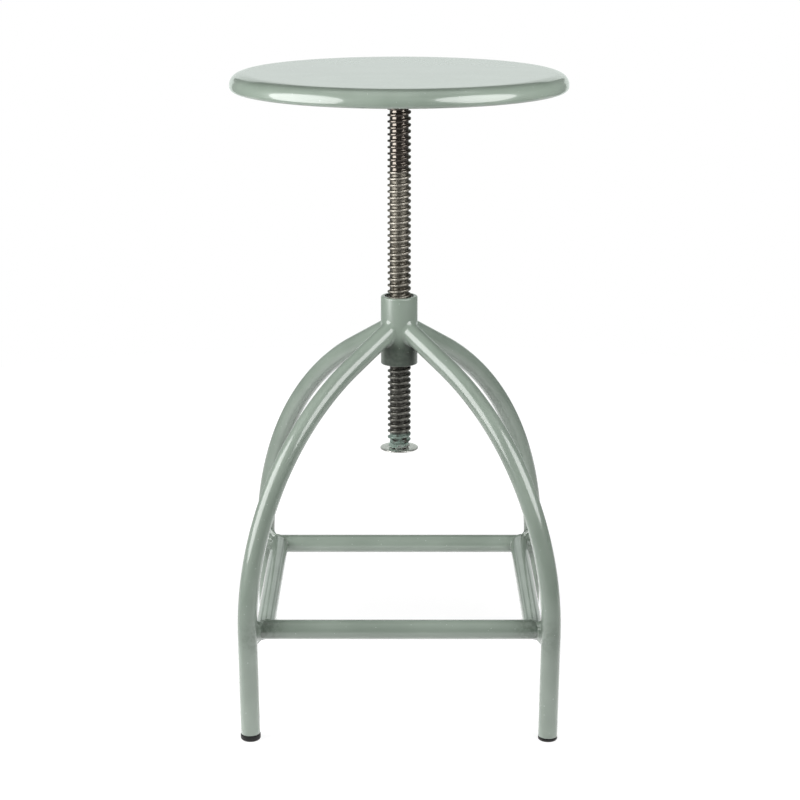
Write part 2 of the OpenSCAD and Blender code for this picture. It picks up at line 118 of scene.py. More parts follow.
# Where the finishes and the painted shade change, each from start to end: heights above the floor
OIL_STARTS = (0.5605, 0.5640)
GRIME_ENDS = (0.440, 0.520)
WEAR_STARTS = (0.372, 0.400)
PAINT_ENDS = (0.2815, 0.2855)
# The painted shade low on the hub, below the legs' roots, ends over these heights
HUB_SHADE_ENDS = (0.378, 0.394)
DUST_ENDS = (0.0012, 0.0030)
# and distances, the first from the foot rail's corners, for the painted shade there, and the
# others from the spindle's axis
CORNER_SHADE_ENDS = (0.010, 0.034)
GROOVE_ENDS = (0.0102, 0.0117)
HUB_ENDS = (HUB_R, HUB_R + 0.003)


class Socket:
    """An output of a shader node, with arithmetic that adds Math nodes."""

    def __init__(self, tree, output):
        self.tree = tree
        self.output = output

    def math(self, operation, *values, **settings):
        settings["operation"] = operation
        return self.tree.add("ShaderNodeMath", settings, dict(enumerate(values)))

    def __add__(self, other):
        return self.math("ADD", self, other)

    def __sub__(self, other):
        return self.math("SUBTRACT", self, other)

    def __rsub__(self, other):
        return self.math("SUBTRACT", other, self)

    def __mul__(self, other):
        return self.math("MULTIPLY", self, other)

    def __abs__(self):
        return self.math("ABSOLUTE", self)

    __radd__ = __add__
    __rmul__ = __mul__

    def clamped(self):
        """The value, held between 0 and 1."""
        return self.math("ADD", self, 0.0, use_clamp=True)

    def step(self, start, end):
        """0 before start, 1 after end, and smooth between them."""
        settings = {"interpolation_type": "SMOOTHSTEP"}
        return self.tree.add("ShaderNodeMapRange", settings, {0: self, 1: start, 2: end})


class Tree:
    """The shader nodes of a material or of the world."""

    def __init__(self, owner):
        owner.use_nodes = True
        self.nodes = owner.node_tree.nodes
        self.links = owner.node_tree.links
        self.nodes.clear()

    def add(self, kind, settings=None, inputs=None, out=0):
        """Adds a node: its settings first, then the values or links of its sockets."""
        node = self.nodes.new(kind)
        for name, value in (settings or {}).items():
            setattr(node, name, value)
        for name, value in (inputs or {}).items():
            socket = node.inputs[name]
            if isinstance(value, Socket):
                self.links.new(value.output, socket)
            else:
                socket.default_value = value
        return Socket(self, node.outputs[out]) if node.outputs else None

    def vector(self, operation, *values, out=0):
        """A Vector Math node. A length or a distance comes from its output Value."""
        settings = {"operation": operation}
        return self.add("ShaderNodeVectorMath", settings, dict(enumerate(values)), out)

    def place(self):
        """The point of the piece that is shaded, in metres in the stool's own frame."""
        return self.add("ShaderNodeTexCoord", out="Object")

    def along(self, axis, vector):
        """One of a vector's three numbers, the one for the axis X, Y or Z."""
        return self.add("ShaderNodeSeparateXYZ", None, {0: vector}, out=axis)

    def reach(self, place):
        """Distance of the shaded point from the spindle's axis."""
        flat = self.vector("MULTIPLY", place, (1, 1, 0))
        return self.vector("LENGTH", flat, out="Value")

    def light_path(self, kind):
        return self.add("ShaderNodeLightPath", out=kind)

    def noise(self, place, size, detail=2.0, roughness=0.5):
        """Noise around 0.5 whose largest features are about size metres across."""
        inputs = {"Vector": place, "Scale": 1 / size, "Detail": detail, "Roughness": roughness}
        return self.add("ShaderNodeTexNoise", None, inputs, out="Fac")

    def specks(self, place, spacing, radius, share):
        """1 at the middle of scattered round specks and 0 away from them."""
        inputs = {"Vector": place, "Scale": 1 / spacing}
        distance = self.add("ShaderNodeTexVoronoi", None, inputs, out="Distance")
        cell = self.add("ShaderNodeTexVoronoi", None, inputs, out="Color")
        chosen = self.add("ShaderNodeSeparateColor", None, {0: cell}, out="Red")
        spot = 1 - distance.step(radius / spacing * 0.4, radius / spacing)
        return spot * chosen.math("LESS_THAN", chosen, share)

    def mix(self, factor, first, second):
        """A colour between two colours."""
        inputs = {0: factor, 6: first, 7: second}
        return self.add("ShaderNodeMix", {"data_type": "RGBA"}, inputs, out=2)

    def bump(self, height, depth, normal=None):
        """A normal that shows height, from 0 to 1, as relief of the given depth in metres."""
        inputs = {"Height": height, "Distance": depth, "Strength": 1.0}
        if normal:
            inputs["Normal"] = normal
        return self.add("ShaderNodeBump", None, inputs)

    def surface(self, inputs):
        shader = self.add("ShaderNodeBsdfPrincipled", None, inputs)
        self.add("ShaderNodeOutputMaterial", None, {"Surface": shader})


def colour(red, green, blue):
    """A colour given in the screen's own 0 to 255 numbers, as linear light."""
    def linear(value):
        share = value / 255
        return share / 12.92 if share <= 0.04045 else ((share + 0.055) / 1.055) ** 2.4
    return (linear(red), linear(green), linear(blue), 1.0)


SAGE_DEEP = colour(126, 138, 127)
SAGE_PALE = colour(136, 148, 137)


def sage_paint(name, base_roughness, coat_roughness, grain_depth):
    """Stove enamel: nearly even in colour, with a fine grain and a few dust nibs, painted pale
    as glints. It has painted shade at the corners of the foot rail, where the welds are, and low
    on the hub."""
    material = bpy.data.materials.new(name)
    tree = Tree(material)
    place = tree.place()
    clouds = tree.noise(place, 0.06)
    fine = tree.noise(place, 0.004, detail=3.0)
    base = tree.mix(clouds.step(0.3, 0.7), SAGE_DEEP, SAGE_PALE)
    corner = (STRETCHER_Y + 0.006, STRETCHER_Y + 0.006, STRETCHER_Z)
    away = tree.vector("DISTANCE", tree.vector("ABSOLUTE", place), corner, out="Value")
    # Painted shade: the paint is darker near the foot rail's corners, where the leg and the
    # stretchers shade each other
    corner_shade = (1 - away.step(*CORNER_SHADE_ENDS)) * (0.35 + 0.65 * fine.step(0.40, 0.60))
    base = tree.mix(corner_shade * 0.55, base, colour(74, 84, 74))
    on_hub = 1 - tree.reach(place).step(*HUB_ENDS)
    # Painted shade: the hub is darker low down, below the legs' roots, where they shade it
    hub_shade = on_hub * (1 - tree.along("Z", place).step(*HUB_SHADE_ENDS))
    base = tree.mix(hub_shade * (0.52 + 0.40 * fine), base, colour(36, 48, 35))
    nibs_and_glints = tree.specks(place, 0.003, 0.00045, 0.14)
    # The nibs are real relief, but their pale colour is a painted glint on each
    base = tree.mix(nibs_and_glints * 0.8, base, colour(220, 228, 222))
    grain = tree.bump(tree.noise(place, 0.0014, detail=2.0), grain_depth)
    relief = tree.bump(nibs_and_glints, 0.00010, grain)
    tree.surface({
        "Base Color": base,
        "Roughness": base_roughness + 0.10 * fine,
        "Specular IOR Level": 0.35,
        "Coat Weight": 1.0,
        "Coat Roughness": coat_roughness,
        "Normal": relief,
    })
    return material


def thread_steel():
    """The screw: oiled black-brown near the seat, worn bright below that, dull grey at its lower
    end, where its last turns have caught some paint. It is darker in the grooves."""
    material = bpy.data.materials.new("thread_steel")
    tree = Tree(material)
    place = tree.place()
    ragged = (tree.noise(place, 0.012, detail=4.0) - 0.5) * 0.006
    level = tree.along("Z", place) + ragged
    oiled = level.step(*OIL_STARTS)
    dull = 1 - level.step(*WEAR_STARTS)
    painted = 1 - level.step(*PAINT_ENDS)
    near_hub = 1 - level.step(*GRIME_ENDS)
    groove = 1 - tree.reach(place).step(*GROOVE_ENDS)
    drawn = tree.vector("MULTIPLY", place, (0.3, 0.3, 1))
    streaks = tree.noise(drawn, 0.0011, detail=4.0, roughness=0.6).step(0.40, 0.62)
    grime = tree.noise(place, 0.0035, detail=5.0, roughness=0.65).step(0.42, 0.62)
    # Darker in the grooves, and where the wear streaks and the grime lie
    darkening = (0.20 * streaks + 0.55 * groove + (0.12 + 0.35 * near_hub) * grime).clamped()
    worn = tree.mix(darkening, colour(166, 162, 152), colour(64, 60, 52))
    black = tree.mix(grime * 0.15, colour(110, 104, 97), colour(66, 57, 49))
    grey = tree.mix(darkening, colour(138, 137, 130), colour(52, 51, 47))
    base = tree.mix(oiled, worn, black)
    base = tree.mix(dull, base, grey)
    sprayed = painted * tree.noise(place, 0.006).step(0.35, 0.5)
    base = tree.mix(sprayed, base, colour(126, 144, 135))
    specks = tree.specks(place, 0.0022, 0.00045, 0.4)
    relief = tree.bump((streaks + specks) * (1 - oiled), 0.00001)
    tree.surface({
        "Base Color": base,
        "Metallic": 1 - 0.15 * oiled - 0.15 * dull - 0.60 * sprayed,
        "Roughness": 0.42 + 0.08 * grime * (1 - oiled) - 0.28 * oiled - 0.09 * dull,
        "Normal": relief,
    })
    return material


def bright_zinc():
    """Zinc plating, satin and slightly clouded. The nut at the spindle's lower end has caught
    some of the paint."""
    material = bpy.data.materials.new("bright_zinc")
    tree = Tree(material)
    place = tree.place()
    height = tree.along("Z", place)
    clouds = tree.noise(place, 0.005, detail=4.0)
    base = tree.mix(clouds.step(0.3, 0.7), colour(206, 206, 201), colour(226, 226, 222))
    over_nut = height.step(NUT_HIGH.z, SPINDLE_LOW.z + 0.05)
    on_nut = height.step(NUT_LOW.z, NUT_LOW.z + 0.0006) * (1 - over_nut)
    sprayed = on_nut * tree.noise(place, 0.007).step(0.34, 0.50)
    base = tree.mix(sprayed, base, colour(142, 160, 150))
    relief = tree.bump(tree.noise(place, 0.0012, detail=2.0), 0.000004)
    tree.surface({
        "Base Color": base,
        "Metallic": 0.95 - 0.75 * sprayed,
        "Roughness": 0.20 + 0.12 * clouds,
        "Normal": relief,
    })
    return material


def dark_steel():
    """Bare mild steel with mill scale and a film of oil, for the pieces under the seat."""
    material = bpy.data.materials.new("dark_steel")
    tree = Tree(material)
    place = tree.place()
    scale = tree.noise(place, 0.009, detail=5.0, roughness=0.6).step(0.35, 0.65)
    base = tree.mix(scale, colour(84, 80, 76), colour(112, 108, 102))
    relief = tree.bump(tree.noise(place, 0.0015, detail=4.0), 0.00005)
    tree.surface({
        "Base Color": base,
        "Metallic": 0.85,
        "Roughness": 0.36 + 0.18 * scale,
        "Normal": relief,
    })
    return material


def black_plastic():
    """Moulded plastic with a fine matt grain, dusty where it meets the floor."""
    material = bpy.data.materials.new("black_plastic")
    tree = Tree(material)
    place = tree.place()
    scuffs = tree.noise(place, 0.004, detail=4.0).step(0.5, 0.75)
    base = tree.mix(scuffs, colour(7, 7, 8), colour(19, 19, 20))
    dust = 1 - tree.along("Z", place).step(*DUST_ENDS)
    base = tree.mix(dust * (0.2 + 0.3 * scuffs), base, colour(96, 90, 84))
    relief = tree.bump(tree.noise(place, 0.0006, detail=2.0), 0.00003)
    tree.surface({
        "Base Color": base,
        "Roughness": 0.38 + 0.2 * scuffs,
        "Specular IOR Level": 0.25,
        "Normal": relief,
    })
    return material


def ring_faces(rings, count, closed=True):
    """Faces between rings of count points each. The last ring joins the first where closed is
    true, and otherwise each end is capped."""
    faces = []
    for i in range(rings if closed else rings - 1):
        low = i * count
        high = (i + 1) % rings * count
        for j in range(count):
            k = (j + 1) % count
            faces.append((low + j, low + k, high + k, high + j))
    if not closed:
        faces.append(tuple(range(count)))
        faces.append(tuple((rings - 1) * count + j for j in range(count)))
    return faces


def merged(shells, distance):
    """One mesh from shells of vertices and faces, with points closer than distance made one."""
    build = bmesh.new()
    for vertices, faces in shells:
        made = [build.verts.new(v) for v in vertices]
        for face in faces:
            build.faces.new([made[i] for i in face])
    bmesh.ops.remove_doubles(build, verts=build.verts, dist=distance)
    return build


def dressed(name, build, body, material, replaced, crease=38):
    """Makes a mesh the object that stands for the replaced nodes. Its shading is smooth but for
    edges with a turn of more than crease degrees."""
    bmesh.ops.recalc_face_normals(build, faces=build.faces)
    mesh = bpy.data.meshes.new(name)
    build.to_mesh(mesh)
    build.free()
    mesh.shade_smooth()
    mesh.set_sharp_from_angle(angle=math.radians(crease))
    mesh.materials.append(material)
    made = bpy.data.objects.new(name, mesh)
    bpy.context.scene.collection.objects.link(made)
    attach(made, body)
    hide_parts(*replaced)


def set_of_shells(name, shells, body, material, replaced):
    """Several separate shells in one piece."""
    dressed(name, merged(shells, 1e-7), body, material, replaced)


def piece(name, rings, body, material, replaced, ring_loop=False):
    """One closed piece from rings of equal length. Its ends are capped unless it closes on
    itself."""
    vertices = [point for ring in rings for point in ring]
    faces = ring_faces(len(rings), len(rings[0]), ring_loop)
    set_of_shells(name, [(vertices, faces)], body, material, replaced)


def circle(radius, z, count=ROUND):
    return [
        Vector((radius * math.cos(a), radius * math.sin(a), z))
        for a in (math.tau * j / count for j in range(count))
    ]


def arc(centre_r, centre_z, radius, start, end, count):
    """Points of a profile along an arc, as (distance from the axis, height)."""
    return [
        (centre_r + radius * math.cos(a), centre_z + radius * math.sin(a))
        for a in (math.radians(start + (end - start) * i / count) for i in range(count + 1))
    ]


def turned(profile, count=ROUND):
    """Rings of a piece turned on the spindle's axis from a profile."""
    return [circle(r, z, count) for r, z in profile]


# Slope of the chamfer of a nut or a bolt head
CHAMFER = math.tan(math.radians(30))


def hexagon_reach(angle, width):
    """Distance from the middle of a hexagon to its edge, with corners on the X axis."""
    return width / 2 / math.cos(angle % (math.pi / 3) - math.pi / 6)


def hexagon_ring(width, height_at):
    """A ring round a hexagon. height_at gives its height from how far out each point lies."""
    ring = []
    for j in range(HEX_ROUND):
        angle = math.tau * j / HEX_ROUND
        reach = hexagon_reach(angle, width)
        ring.append(Vector((reach * math.cos(angle), reach * math.sin(angle), height_at(reach))))
    return ring


def leg_point(station):
    """Centre and direction of a leg's centre line in its plane. station is the length along it
    from the spindle's axis."""
    upper = LEG_RUN / math.cos(LEG_SLOPE)
    bend = BEND_R * (math.pi / 2 - LEG_SLOPE + LEG_LEAN)
    if station < upper:
        slope = -LEG_SLOPE
        x = station * math.cos(LEG_SLOPE)
        z = LEG_AXIS_Z - station * math.sin(LEG_SLOPE)
    elif station < upper + bend:
        turn = (station - upper) / BEND_R
        slope = -LEG_SLOPE - turn
        x = BEND_CENTRE[0] + BEND_R * math.sin(LEG_SLOPE + turn)
        z = BEND_CENTRE[1] + BEND_R * math.cos(LEG_SLOPE + turn)
    else:
        slope = -math.pi / 2 - LEG_LEAN
        x = BEND_END[0] + (station - upper - bend) * math.cos(slope)
        z = BEND_END[1] + (station - upper - bend) * math.sin(slope)
    return Vector((x, 0, z)), Vector((math.cos(slope), 0, math.sin(slope)))


LEG_LENGTH = (
    LEG_RUN / math.cos(LEG_SLOPE)
    + BEND_R * (math.pi / 2 - LEG_SLOPE + LEG_LEAN)
    + BEND_END[1] / math.cos(LEG_LEAN)
)
ACROSS = Vector((0, 1, 0))


def tube_ring(station, radius, count=TUBE_ROUND):
    centre, along = leg_point(station)
    normal = along.cross(ACROSS)
    return [
        centre + radius * (math.cos(a) * normal + math.sin(a) * ACROSS)
        for a in (math.tau * j / count for j in range(count))
    ]


def root_ring(radius, reach, count=TUBE_ROUND):
    """Where a tube of that radius on a leg's upper run meets a cylinder round the spindle's axis,
    with a radius of reach."""
    along = leg_point(0)[1]
    ring = []
    for point in tube_ring(0, radius, count):
        across = point.x * along.x + point.y * along.y
        flat = along.x ** 2 + along.y ** 2
        gap = point.x ** 2 + point.y ** 2 - reach ** 2
        ring.append(point + along * ((-across + math.sqrt(across ** 2 - flat * gap)) / flat))
    return ring


def turned_to(turn, ring):
    rotation = Matrix.Rotation(math.radians(turn), 3, "Z")
    return [rotation @ point for point in ring]


def leg(side, paint):
    """A leg from the hub to its cap, with a small rounding at its cut end."""
    turn = LEG_TURNS[side]
    edge = 0.0006
    first = LEG_RUN * 0.62
    end = LEG_LENGTH - CAP_H[side]
    last = end - edge
    steps = 72
    rings = [root_ring(TUBE_R, HUB_R - HIDDEN_LAP)]
    rings += [tube_ring(first + (last - first) * i / steps, TUBE_R) for i in range(steps + 1)]
    rings += [tube_ring(end - edge / 3, TUBE_R - edge / 3), tube_ring(end, TUBE_R - edge)]
    rings = [turned_to(turn, ring) for ring in rings]
    piece(side + "_leg_tube", rings, "frame", paint, [side + "_leg"])


def leg_reach(height):
    """Distance of a leg's centre line from the spindle's axis, low on its bend or below it."""
    if height < BEND_END[1]:
        return FOOT_X + height * math.tan(LEG_LEAN)
    return BEND_CENTRE[0] + math.sqrt(BEND_R ** 2 - (height - BEND_CENTRE[1]) ** 2)


def mitre_ring(radius, count=TUBE_ROUND):
    """Ring where the front stretcher meets the left one, on the mitre between them."""
    ring = []
    for j in range(count):
        angle = math.tau * j / count
        y = -STRETCHER_Y + radius * math.cos(angle)
        ring.append(Vector((y, y, STRETCHER_Z + radius * math.sin(angle))))
    return ring


def mirrored(ring):
    return [Vector((-point.x, point.y, point.z)) for point in ring]


STRETCHER_TURNS = {
    "front_stretcher": 0,
    "right_stretcher": 90,
    "rear_stretcher": 180,
    "left_stretcher": 270,
}


def stretcher(name, paint):
    """One side of the foot rail, mitred at both ends."""
    end = mitre_ring(TUBE_R)
    inner = [point + Vector((2 * TUBE_R, 0, 0)) for point in end]
    rings = [end, inner, mirrored(inner), mirrored(end)]
    rings = [turned_to(STRETCHER_TURNS[name], ring) for ring in rings]
    piece(name + "_tube", rings, "frame", paint, [name])


def bead(path, out, radius, ripple, count=10):
    """Vertices and faces of a weld bead along a closed path, with the ripples of its pools.

    out gives, at each point of the path, the direction in which the bead stands proud."""
    total = len(path)
    vertices = []
    for i, point in enumerate(path):
        along = (path[(i + 1) % total] - path[i - 1]).normalized()
        normal = (out[i] - along * out[i].dot(along)).normalized()
        side = along.cross(normal)
        turn = math.tau * i / total
        swell = radius * (1 + 0.10 * math.sin(ripple * turn) + 0.05 * math.sin(5 * turn))
        for j in range(count):
            angle = math.tau * j / count
            rise = normal * (0.9 * swell * math.cos(angle))
            vertices.append(point + rise + side * (swell * math.sin(angle)))
    return vertices, ring_faces(total, count)


def root_fillet(phase, count=120, rows=7):
    """Vertices and faces of the weld round a leg's root: a hollow fillet from the hub to the tube,
    wider in some places than in others. phase makes each leg's weld differ."""
    centre_line, along = leg_point(0)
    seam = root_ring(TUBE_R, HUB_R, count)
    vertices = []
    for i, corner in enumerate(seam):
        turn = math.tau * i / count
        uneven = 0.16 * math.sin(3 * turn + phase) + 0.10 * math.sin(7 * turn + 2.3 * phase)
        width = FILLET_W * (1 + uneven + 0.05 * math.sin(17 * turn))
        off_hub = Vector((corner.x, corner.y, 0)).normalized()
        off_tube = corner - centre_line
        off_tube = (off_tube - along * off_tube.dot(along)).normalized()
        first = root_ring(TUBE_R + width, HUB_R - HIDDEN_LAP, count)[i]
        last = corner + along * (1.3 * width) - off_tube * HIDDEN_LAP
        pull = corner.lerp((first + last) / 2, 0.22)
        for k in range(rows):
            share = k / (rows - 1)
            near = first.lerp(pull, share)
            vertices.append(near.lerp(pull.lerp(last, share), share))
        vertices.append(corner - (off_hub + off_tube) * 2 * HIDDEN_LAP)
    return vertices, ring_faces(count, rows + 1)


def hub_welds(paint):
    """The weld round the root of each leg."""
    shells = []
    for index, turn in enumerate(LEG_TURNS.values()):
        vertices, faces = root_fillet(1.9 * index)
        shells.append((turned_to(turn, vertices), faces))
    set_of_shells("hub_weld_fillets", shells, "frame", paint, ["hub_welds"])


def corner_fillet(count=72, rows=6):
    """Vertices and faces of the weld that fills the gap between the front left corner of the
    stretchers' square and the leg. It is a ring round the line from the axis through the corner:
    across is the distance from that line, up the height over the stretchers' axes."""
    half_on_square = (0.0044, 0.0094)
    half_on_leg = (0.0070, 0.0138)
    outward = Vector((-1, -1, 0)).normalized()
    sideways = Vector((1, -1, 0)).normalized()

    def on_square(across, up):
        face = STRETCHER_Y + math.sqrt(max(TUBE_R ** 2 - up ** 2, 0))
        return math.sqrt(2) * face - abs(across)

    def on_leg(across, up):
        return leg_reach(STRETCHER_Z + up) - math.sqrt(TUBE_R ** 2 - across ** 2)

    rings = []
    for i in range(count):
        angle = math.tau * i / count
        swell = 1 + 0.05 * math.sin(9 * angle) + 0.035 * math.sin(23 * angle + 1)
        across = half_on_square[0] * math.cos(angle) * swell
        up = half_on_square[1] * math.sin(angle)
        wide = half_on_leg[0] * math.cos(angle) * swell
        high = half_on_leg[1] * math.sin(angle) * swell
        first = Vector((across, up, on_square(across, up) - HIDDEN_LAP))
        last = Vector((wide, high, on_leg(wide, high) + HIDDEN_LAP))
        pull = Vector(((across + wide) * 0.42, (up + high) * 0.46, (first.z + last.z) / 2))
        ring = []
        for k in range(rows):
            share = k / (rows - 1)
            near = first.lerp(pull, share)
            ring.append(near.lerp(pull.lerp(last, share), share))
        ring.append(Vector((0.3 * across, 0.3 * up, on_leg(0, 0) + 2 * HIDDEN_LAP)))
        rings.append([
            outward * point.z + sideways * point.x + Vector((0, 0, STRETCHER_Z + point.y))
            for point in ring
        ])
    return [point for ring in rings for point in ring], ring_faces(count, rows + 1)


def stretcher_welds(paint):
    """At each corner a bead along the mitre and the weld that holds the corner to its leg."""
    shells = []
    path = mitre_ring(TUBE_R - 0.0003, ROUND)
    out = [point - Vector((-STRETCHER_Y, -STRETCHER_Y, STRETCHER_Z)) for point in path]
    vertices, faces = corner_fillet()
    for turn in STRETCHER_TURNS.values():
        shells.append(bead(turned_to(turn, path), turned_to(turn, out), 0.0012, 26))
        shells.append((turned_to(turn, vertices), faces))
    set_of_shells("stretcher_weld_beads", shells, "frame", paint, ["stretcher_welds"])


def hub(paint):
    """The collar, with a broad rounding on its upper edge and a small one elsewhere."""
    bore = HUB_R - HUB_WALL
    edge = 0.0008
    broad = 0.0018
    profile = arc(bore + edge, HUB_LOW.z + edge, edge, 180, 270, 4)
    profile += arc(HUB_R - edge, HUB_LOW.z + edge, edge, 270, 360, 6)
    profile += arc(HUB_R - broad, HUB_HIGH.z - broad, broad, 0, 90, 8)
    profile += arc(bore + edge, HUB_HIGH.z - edge, edge, 90, 180, 4)
    piece("hub_collar", turned(profile), "frame", paint, ["hub"], ring_loop=True)


def foot(side, plastic):
    """Plug in a leg's end: a rounded cap below the tube, level with the floor underneath."""
    cap_h = CAP_H[side]
    cap_r = TUBE_R + CAP_LIP[side]
    edge = 0.0028 if cap_h > 0.005 else 0.0018
    rim = 0.0006
    plug_r = TUBE_R - 0.0016
    plug_top = 0.028
    profile = [(TUBE_R * 0.4, 0), (cap_r - edge, 0)]
    profile += arc(cap_r - edge, edge, edge, 285, 360, 8)
    profile += arc(cap_r - rim, cap_h - rim, 0.0005, 0, 90, 4)
    profile += [(plug_r, cap_h), (plug_r, plug_top - 0.002), (plug_r - 0.0014, plug_top)]
    end, along = leg_point(LEG_LENGTH)
    up = -along
    normal = along.cross(ACROSS)
    rings = []
    for r, z in profile:
        ring = []
        for j in range(TUBE_ROUND):
            angle = math.tau * j / TUBE_ROUND
            flat = normal * (r * math.cos(angle)) + ACROSS * (r * math.sin(angle))
            level = -flat.z / up.z * max(1 - z / cap_h, 0)
            ring.append(end + flat + up * (z + level))
        rings.append(turned_to(LEG_TURNS[side], ring))
    piece(side + "_foot_plug", rings, "frame", plastic, [side + "_foot"])


def thread_radius(phase, root, crest):
    """Radius of the rolled thread at a share of its pitch: round crest, flanks, flat root."""
    ridge = 0.60
    flank = 0.19
    if phase >= ridge:
        return root
    rise = min(phase, ridge - phase) / flank
    share = 1.0 if rise >= 1 else rise * rise * (3 - 2 * rise)
    crown = 1 - 0.06 * (2 * phase / ridge - 1) ** 2
    return root + (crest - root) * share * crown


def spindle(steel):
    """The screw, as a sheet of points that follows the helix, closed by flat ends."""
    crest = SPINDLE_HIGH.x
    root = crest - THREAD_DEPTH
    low = SPINDLE_LOW.z
    high = SPINDLE_HIGH.z
    around = 56
    per_pitch = 20
    thread_low = low + 0.0012
    thread_high = PLATE_LOW.z - 0.006
    rows = int((high - low) / THREAD_PITCH * per_pitch) + 2 * per_pitch
    vertices = []
    for m in range(rows + 1):
        for j in range(around):
            turn = j / around
            z = low + THREAD_PITCH * (m / per_pitch - 1.5 + turn)
            over = (z - thread_low) / THREAD_PITCH
            under = (thread_high - z) / THREAD_PITCH
            phase = (over - turn) % 1.0
            # The thread fades out over half a turn at either end
            fade = max(min(over + 0.1, under, 0.5) * 2, 0)
            radius = root + (thread_radius(phase, root, crest) - root) * fade
            z = min(max(z, low), high)
            angle = math.tau * turn
            vertices.append(Vector((radius * math.cos(angle), radius * math.sin(angle), z)))
    faces = []
    for m in range(rows):
        for j in range(around):
            a = m * around + j
            if j < around - 1:
                b = a + 1
            elif m + per_pitch < rows:
                # After a full turn the sheet meets itself one pitch higher
                b = (m + per_pitch) * around
            else:
                continue
            faces.append((a, b, b + around, a + around))
    # What lies past an end is pressed flat there. It is dissolved, and the end is closed.
    build = merged([(vertices, faces)], 1e-6)
    bmesh.ops.dissolve_degenerate(build, edges=build.edges, dist=1e-6)
    edges = [e for e in build.edges if e.is_boundary]
    bmesh.ops.holes_fill(build, edges=edges, sides=0)
    loose = [v for v in build.verts if not v.link_faces]
    bmesh.ops.delete(build, geom=loose, context="VERTS")
    dressed("spindle_screw", build, "seat", steel, ["spindle"], crease=60)


def lock_nut(zinc):
    """A hexagon nut, chamfered on both faces."""
    width = NUT_HIGH.y - NUT_LOW.y
    face_r = width / 2 * 0.94
    corner_r = width / 2 * 0.97
    bore = 0.006
    edge = 0.0006
    low = NUT_LOW.z
    high = NUT_HIGH.z
    rings = [
        circle(bore, low, HEX_ROUND),
        circle(face_r, low, HEX_ROUND),
        hexagon_ring(width, lambda reach: low + (reach - corner_r) * CHAMFER),
        hexagon_ring(width, lambda reach: high - (reach - corner_r) * CHAMFER),
        circle(face_r, high, HEX_ROUND),
        circle(bore + edge, high, HEX_ROUND),
        circle(bore, high - edge, HEX_ROUND),
    ]
    piece("lock_nut_hexagon", rings, "seat", zinc, ["lock_nut"], ring_loop=True)


def stop_washer(zinc):
    """A flat washer with rounded edges."""
    low = WASHER_LOW.z
    high = WASHER_HIGH.z
    outer = WASHER_HIGH.x
    bore = 0.0065
    edge = 0.0004
    profile = arc(bore + edge, low + edge, edge, 180, 270, 3)
    profile += arc(outer - edge, low + edge, edge, 270, 360, 4)
    profile += arc(outer - edge, high - edge, edge, 0, 90, 4)
    profile += arc(bore + edge, high - edge, edge, 90, 180, 3)
    rings = turned(profile)
    piece("stop_washer_disc", rings, "stop", zinc, ["stop_washer"], ring_loop=True)


def stop_bolt(zinc):
    """Low head with a hexagon socket, seen from below, and its shank."""
    low = STOP_LOW.z
    head_r = STOP_HIGH.x
    head_top = low + 0.0028
    socket = 0.006
    socket_depth = 0.0019
    shank = 0.006
    rings = [
        hexagon_ring(socket, lambda reach: low + socket_depth),
        hexagon_ring(socket, lambda reach: low + 0.0002),
        hexagon_ring(socket + 0.0005, lambda reach: low),
        circle(head_r - 0.0022, low, HEX_ROUND),
        circle(head_r - 0.0016, low + 0.0003, HEX_ROUND),
        circle(head_r - 0.0002, low + 0.0012, HEX_ROUND),
        circle(head_r, low + 0.0016, HEX_ROUND),
        circle(head_r, head_top - 0.0002, HEX_ROUND),
        circle(head_r - 0.0003, head_top, HEX_ROUND),
        circle(shank, head_top, HEX_ROUND),
        circle(shank, STOP_HIGH.z, HEX_ROUND),
    ]
    piece("stop_bolt_head", rings, "seat", zinc, ["stop_bolt"])


def seat_bolts(zinc):
    """Four hexagon-headed bolts up through the plate, heads down."""
    width = 0.013
    face_r = width / 2 * 0.90
    corner_r = width / 2 * 0.95
    shank = 0.004
    low = BOLTS_LOW.z
    top = low + 0.0053
    rings = [
        circle(shank, low + 0.0002, HEX_ROUND),
        circle(face_r, low, HEX_ROUND),
        hexagon_ring(width, lambda reach: low + (reach - corner_r) * CHAMFER),
        hexagon_ring(width, lambda reach: top),
        circle(shank, top, HEX_ROUND),
        circle(shank, BOLTS_HIGH.z - 0.0008, HEX_ROUND),
        circle(shank - 0.0008, BOLTS_HIGH.z, HEX_ROUND),
    ]
    out = Vector((BOLT_CIRCLE_R, 0, 0))
    shells = []
    for turn in (0, 90, 180, 270):
        vertices = []
        for ring in rings:
            vertices += turned_to(turn, [point + out for point in ring])
        shells.append((vertices, ring_faces(len(rings), HEX_ROUND, closed=False)))
    set_of_shells("seat_bolt_set", shells, "seat", zinc, ["seat_bolts"])


def plate_weld(steel):
    """The weld round the screw under the mounting plate."""
    root = SPINDLE_HIGH.x - THREAD_DEPTH
    path = circle(root + 0.0012, PLATE_LOW.z - 0.0012, 120)
    out = [Vector((point.x, point.y, -root)) for point in path]
    shells = [bead(path, out, 0.0030, 34, 12)]
    set_of_shells("plate_weld_ring", shells, "seat", steel, ["plate_weld_bead"])


